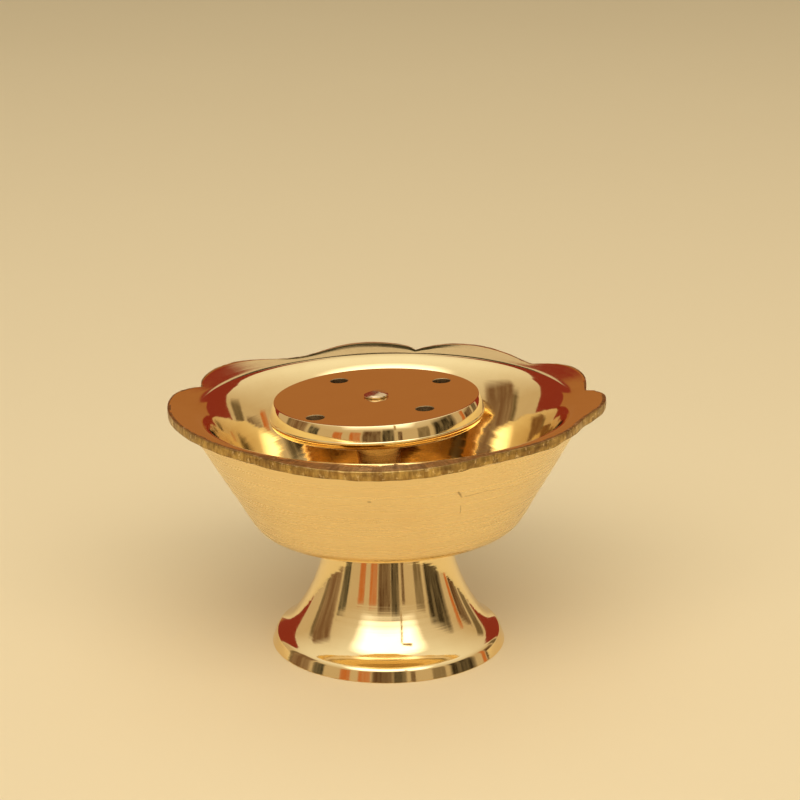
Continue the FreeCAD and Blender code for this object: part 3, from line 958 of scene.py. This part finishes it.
def add_washer(steel):
    top = FOOT_CEILING
    low = top - WASHER_H
    outline = joined([
        straight((ROD_HOLE_R, low), (WASHER_R, low), 0.4),
        straight((WASHER_R, low), (WASHER_R, top), 0.2),
        straight((WASHER_R, top), (ROD_HOLE_R, top), 0.4),
        straight((ROD_HOLE_R, top), (ROD_HOLE_R, low), 0.2),
    ], [0.12, 0.06, 0.06, 0.06])
    mesh = ring_mesh("washer_pressed", revolve(outline, even_angles(WASHER_AROUND)),
                     arc_length(outline))
    add_piece("washer_pressed", mesh, "stand", "washer", [steel], ROD_FRAME)


def add_nut(steel):
    top = FOOT_CEILING - WASHER_H
    low = top - NUT_H
    corner_r = NUT_FLATS / math.sqrt(3.0)
    bore = ROD_R + 0.01
    flank = np.linspace(low + 0.35, top - 0.1, 6)
    wall = np.arange(top - 0.2, low + 0.25, -THREAD_PITCH / 6)
    outline = np.array([
        (bore + 0.25, low), (NUT_FACE_R, low), (NUT_FLATS * 0.47, low),
        *[(corner_r, z) for z in flank],
        (corner_r - 0.12, top), (NUT_FACE_R, top), (bore, top),
        *[(bore, z) for z in wall],
        (bore + 0.05, low + 0.12),
    ])
    angles = even_angles(NUT_AROUND)
    rings = revolve(outline, angles)
    flats = 0.5 * NUT_FLATS / np.cos((angles + math.pi / 6) % (math.pi / 3) - math.pi / 6)
    radius = np.hypot(rings[..., 0], rings[..., 1])
    shrink = np.minimum(1.0, flats / radius)
    rings[..., 0] *= shrink
    rings[..., 1] *= shrink
    mesh = ring_mesh("nut_hex", rings, arc_length(outline))
    mesh.set_sharp_from_angle(angle=math.radians(25))
    add_piece("nut_hex", mesh, "stand", "hex_nut", [steel], ROD_FRAME)


# --- Studio ---
# Polished brass looks like the room around it, so plain cards that show only in reflections stand
# in for the room: a wall behind, uneven blocks of furniture in front, and a pale dome above.
WALL_Y = 0.54
FRONT_R = 0.62
DOME_R = 1.9
KEY_PLACE = (0.0, -0.88, 1.06)
KEY_SIZE = (2.2, 0.9)
KEY_POWER = 20.5
SOFTBOX_SIZE = (2.1, 1.0)
SOFTBOX_GLOW = 2.7
SOFTBOX_WHITE = (1.0, 0.97, 0.92)
FILL_PLACE = (0.0, 0.7, 2.6)
FILL_SIZE = (3.0, 3.0)
FILL_POWER = 17.0
LIGHT_COLOUR = (1.0, 0.965, 0.90)
WORLD_COLOUR = (1.0, 0.90, 0.74, 1.0)
WORLD_STRENGTH = 0.33
FLOOR_SIZE = 4.0
FLOOR_DROP = 0.00002
FLOOR_COLOURS = ((0.80, 0.655, 0.405), (0.78, 0.63, 0.385))
DOME_ROWS = 16
DOME_TURNS = 48
CARD_BENDS = 8
SQUARE = [(0, 0), (1, 0), (1, 1), (0, 1)]

BOARD_BROWN = (0.40, 0.16, 0.048)
DARK_RED = (0.26, 0.036, 0.02)
DARK_GREEN = (0.052, 0.045, 0.026)
OLIVE = (0.155, 0.105, 0.052)
DARK_BROWN = (0.105, 0.048, 0.019)
MID_BROWN = (0.19, 0.10, 0.05)
NEAR_BLACK = (0.036, 0.025, 0.012)
ORANGE = (0.54, 0.155, 0.036)
CREAM = (0.59, 0.445, 0.275)
CEILING = (1.0, 0.95, 0.83)

# On the wall behind: left, right, bottom, top (metres) and colour. Later ones stand in front.
WALL_CARDS = [
    ("red_wall", -0.62, 0.50, 0.0, 0.287, DARK_RED),
    ("red_left", -0.62, -0.038, 0.0, 0.62, DARK_RED),
    ("red_right", 0.016, 0.50, 0.0, 0.62, DARK_RED),
    ("board", -0.22, 0.18, 0.012, 0.248, BOARD_BROWN),
    ("green_pillar", -0.045, 0.02, 0.328, 0.41, DARK_GREEN),
]
# In front: from and to (degrees, 0 in front and positive to the right), top (degrees) and colour.
FRONT_CARDS = [
    ("olive_left", -112, -88, 30, OLIVE),
    ("brown_left", -108, -80, 39, MID_BROWN),
    ("green_left", -78, -64, 24, DARK_GREEN),
    ("orange_left", -48, -37, 23, ORANGE),
    ("orange_middle", -30, -17, 26, ORANGE),
    ("brown_middle", -17, 5, 31, DARK_BROWN),
    ("black_middle", 4, 18, 33, NEAR_BLACK),
    ("brown_slim", 21, 26, 24, DARK_BROWN),
    ("olive_right", 42, 57, 26, OLIVE),
    ("black_right", 60, 93, 31, NEAR_BLACK),
    ("orange_right", 101, 107, 24, ORANGE),
    ("brown_right", 107, 122, 18, DARK_BROWN),
    ("olive_far_right", 124, 134, 27, OLIVE),
]
# A lamp stand before the key light: from, to, bottom and top (degrees).
LAMP_CARDS = [("lamp_pole", 17.5, 20.5, 26, 48), ("lamp_arm", 19, 36, 46.5, 50)]
LAMP_BROWN = (0.42, 0.27, 0.12)


def card_material(name, colour, soft, strength=1.0, streaks=0.0):
    """Glowing card whose edges fade out. soft is the faded share of its width and of its height
    (at the top, and at the bottom if a third value is given), streaks how uneven it is across."""
    material, tree = new_material(name)
    output = add_node(tree, "ShaderNodeOutputMaterial")
    glow = add_node(tree, "ShaderNodeEmission", {"Color": (*colour, 1.0), "Strength": strength})
    clear = add_node(tree, "ShaderNodeBsdfTransparent")
    mixed = add_node(tree, "ShaderNodeMixShader")
    place = add_node(tree, "ShaderNodeTexCoord")
    across, up, _ = axes_of(tree, place.outputs["UV"])
    share = maths(tree, "MULTIPLY", remap(tree, across, 0.0, soft[0], 0.0, 1.0),
                  remap(tree, across, 1.0 - soft[0], 1.0, 1.0, 0.0))
    share = maths(tree, "MULTIPLY", share, remap(tree, up, 1.0 - soft[1], 1.0, 1.0, 0.0))
    if len(soft) > 2:
        share = maths(tree, "MULTIPLY", share, remap(tree, up, 0.0, soft[2], 0.0, 1.0))
    if streaks > 0:
        stretch = add_node(tree, "ShaderNodeMapping", {"Scale": (1.0, 1.0, 0.12)})
        link(tree, place.outputs["Object"], stretch.inputs["Vector"])
        uneven = noise(tree, stretch.outputs[0], 22.0, 3.0, 0.6)
        pale = remap(tree, uneven, 0.42, 0.62, 0.0, streaks)
        link(tree, blend_colours(tree, pale, colour, CREAM), glow.inputs["Color"])
    link(tree, share, mixed.inputs[0])
    link(tree, clear.outputs[0], mixed.inputs[1])
    link(tree, glow.outputs[0], mixed.inputs[2])
    link(tree, mixed.outputs[0], output.inputs[0])
    return material


def add_card(name, points, faces, material, uv=None):
    """A card outside the picture. It shows only in reflections and lights nothing."""
    mesh = bpy.data.meshes.new(name)
    mesh.from_pydata(points, [], faces)
    mesh.materials.append(material)
    if uv is not None:
        layer = mesh.uv_layers.new(name="card")
        for loop in mesh.loops:
            layer.data[loop.index].uv = uv[loop.vertex_index]
    card = new_object(name, mesh)
    card.visible_camera = False
    card.visible_diffuse = False
    card.visible_shadow = False


def add_room():
    for number, (name, left, right, bottom, top, colour) in enumerate(WALL_CARDS):
        y = WALL_Y - 0.002 * number
        points = [(left, y, bottom), (right, y, bottom), (right, y, top), (left, y, top)]
        add_card(name, points, [(0, 1, 2, 3)], card_material(name, colour, (0.02, 0.02)), SQUARE)
    for number, (name, start, end, top, colour) in enumerate(FRONT_CARDS):
        material = card_material(name, colour, (0.12, 0.22), streaks=0.3)
        add_bent_card(name, start, end, 0, top, FRONT_R - 0.002 * number, material)
    for number, (name, start, end, bottom, top) in enumerate(LAMP_CARDS):
        material = card_material(name, LAMP_BROWN, (0.15, 0.15, 0.15))
        add_bent_card(name, start, end, bottom, top, FRONT_R - 0.04 - 0.002 * number, material)
    add_softbox()
    add_dome()


def add_bent_card(name, start, end, bottom, top, radius, material):
    """An upright card bent round the holder. All but the radius is in degrees as seen from it."""
    turns = np.radians(np.linspace(start, end, CARD_BENDS + 1))
    heights = [radius * math.tan(math.radians(rise)) for rise in (bottom, top)]
    points = [(radius * math.sin(t), -radius * math.cos(t), z) for z in heights for t in turns]
    over = CARD_BENDS + 1
    faces = [(i, i + 1, i + 1 + over, i + over) for i in range(CARD_BENDS)]
    uv = [(i / CARD_BENDS, v) for v in (0, 1) for i in range(CARD_BENDS + 1)]
    add_card(name, points, faces, material, uv)


def add_softbox():
    """What the key light looks like in the brass: a white panel with soft edges."""
    centre = Vector(KEY_PLACE)
    aside = Vector((1, 0, 0)) * SOFTBOX_SIZE[0] / 2
    upward = Vector((0, KEY_PLACE[2], -KEY_PLACE[1])).normalized() * SOFTBOX_SIZE[1] / 2
    points = [centre - aside - upward, centre + aside - upward, centre + aside + upward,
              centre - aside + upward]
    material = card_material("softbox", SOFTBOX_WHITE, (0.22, 0.3, 0.3), SOFTBOX_GLOW)
    add_card("softbox", points, [(0, 1, 2, 3)], material, SQUARE)


def add_dome():
    """A half sphere, cream at its foot and near white overhead."""
    material, tree, shader = new_surface("dome", "ShaderNodeEmission")
    height = axes_of(tree, object_place(tree))[2]
    rise = remap(tree, height, 0.35 * DOME_R, 0.97 * DOME_R, 0.0, 1.0)
    link(tree, blend_colours(tree, rise, CREAM, CEILING), shader.inputs["Color"])
    rises = np.linspace(0, 0.5 * math.pi, DOME_ROWS + 1)[:-1]
    turns = even_angles(DOME_TURNS)
    points = [(DOME_R * math.cos(rise) * math.cos(turn), DOME_R * math.cos(rise) * math.sin(turn),
               DOME_R * math.sin(rise)) for rise in rises for turn in turns]
    points.append((0.0, 0.0, DOME_R))
    faces = []
    for row in range(DOME_ROWS):
        for i in range(DOME_TURNS):
            here, after = row * DOME_TURNS + i, row * DOME_TURNS + (i + 1) % DOME_TURNS
            if row < DOME_ROWS - 1:
                faces.append((here, after, after + DOME_TURNS, here + DOME_TURNS))
            else:
                faces.append((here, after, len(points) - 1))
    add_card("dome", points, faces, material)


def add_floor():
    """The floor, a hair under the ground ring."""
    mesh = bpy.data.meshes.new("floor")
    corners = [(FLOOR_SIZE * (2 * x - 1), FLOOR_SIZE * (2 * y - 1), 0) for x, y in SQUARE]
    mesh.from_pydata(corners, [], [(0, 1, 2, 3)])
    material, tree, shader = new_surface("floor_paint", "ShaderNodeBsdfPrincipled",
                                         {"Roughness": 1.0, "Specular IOR Level": 0.0})
    clouds = noise(tree, object_place(tree), 3.0, 2.0, 0.5)
    link(tree, blend_colours(tree, clouds, *FLOOR_COLOURS), shader.inputs["Base Color"])
    mesh.materials.append(material)
    floor = new_object("floor", mesh)
    floor.location.z = -FLOOR_DROP


def add_soft_light(name, place, target, size, power):
    data = bpy.data.lights.new(name, "AREA")
    data.shape = "RECTANGLE"
    data.size, data.size_y = size
    data.energy = power
    data.color = LIGHT_COLOUR
    light = new_object(name, data)
    light.visible_glossy = False
    light.location = place
    light.rotation_mode = "QUATERNION"
    light.rotation_quaternion = (Vector(target) - Vector(place)).to_track_quat("-Z", "Y")


def add_studio():
    add_floor()
    add_soft_light("key", KEY_PLACE, (0, 0, 0), KEY_SIZE, KEY_POWER)
    add_soft_light("fill", FILL_PLACE, (0, 0.6, 0), FILL_SIZE, FILL_POWER)
    add_room()
    world = bpy.data.worlds.new("studio")
    bpy.context.scene.world = world
    world.use_nodes = True
    background = world.node_tree.nodes["Background"]
    background.inputs["Color"].default_value = WORLD_COLOUR
    background.inputs["Strength"].default_value = WORLD_STRENGTH
    bpy.context.scene.view_settings.view_transform = "Standard"


# --- Assembly ---
add_camera()
add_foot()
add_bowl()
add_stem()
add_plate()
add_rod()
steel = plated_steel()
add_washer(steel)
add_nut(steel)
add_studio()
